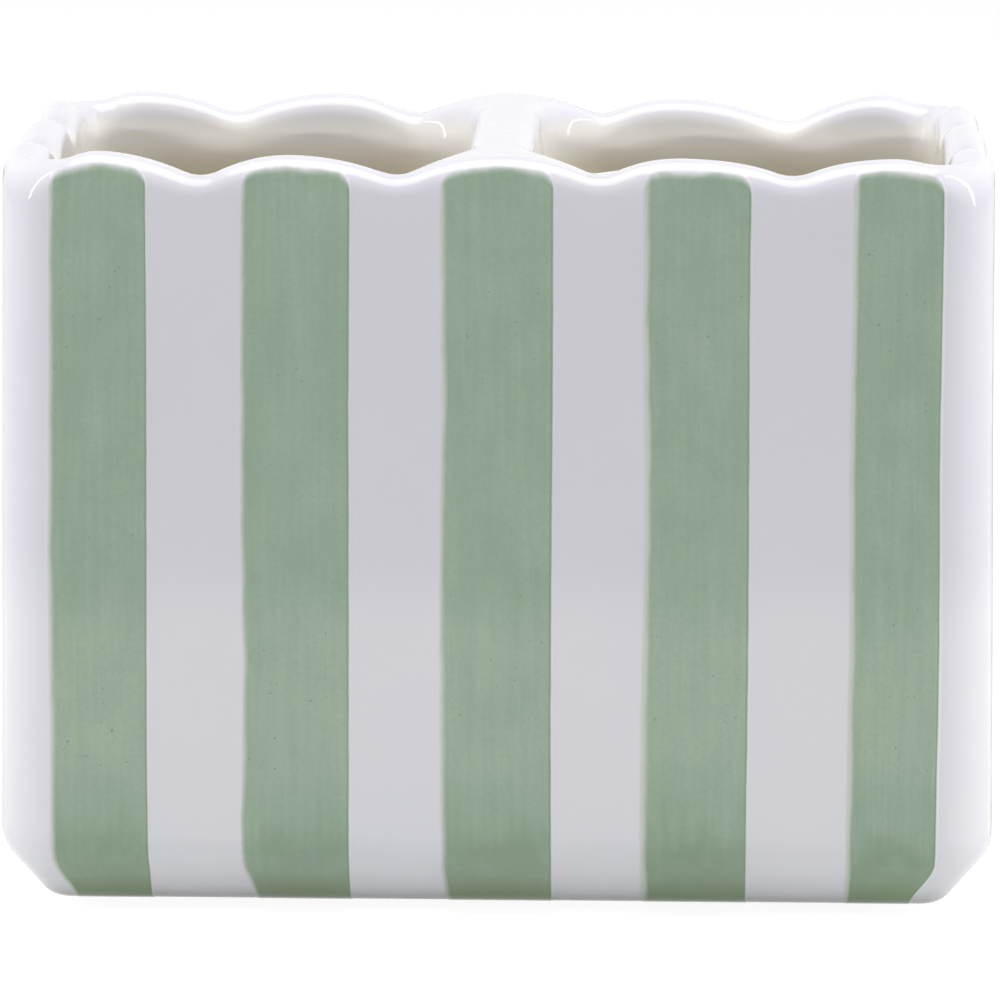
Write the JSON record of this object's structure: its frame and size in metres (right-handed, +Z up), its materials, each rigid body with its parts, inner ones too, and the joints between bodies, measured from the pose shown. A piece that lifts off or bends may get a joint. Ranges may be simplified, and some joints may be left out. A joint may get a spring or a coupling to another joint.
{
  "type": "toothbrush holder",
  "caption": "Open-topped glazed ceramic toothbrush holder: rectangular box with a scalloped rim, a dividing wall between its compartments and brushed upright bands of coloured slip.",
  "frame": {"origin": "on the table, under the middle of the box", "axes": "+Z up, +X along the width, the front face looks towards -Y"},
  "size_m": [0.1204, 0.0732, 0.0926],
  "materials": {
    "white_glaze": "white earthenware under a clear gloss glaze, bare clay on the foot",
    "green_slip": "sage-green slip brushed on by hand under the clear gloss glaze",
    "clear_pad": "soft clear silicone, satin"
  },
  "bodies": {
    "root": {"cast_box": "white_glaze", "dividing_wall": "white_glaze", "front_band_1": "green_slip", "front_band_2": "green_slip", "front_band_3": "green_slip", "front_band_4": "green_slip", "front_band_5": "green_slip", "back_band_1": "green_slip", "back_band_2": "green_slip", "back_band_3": "green_slip", "back_band_4": "green_slip", "back_band_5": "green_slip", "left_band_1": "green_slip", "left_band_2": "green_slip", "left_band_3": "green_slip", "right_band_1": "green_slip", "right_band_2": "green_slip", "right_band_3": "green_slip", "front_left_pad": "clear_pad", "back_left_pad": "clear_pad", "front_right_pad": "clear_pad", "back_right_pad": "clear_pad"}
  },
  "joints": []
}
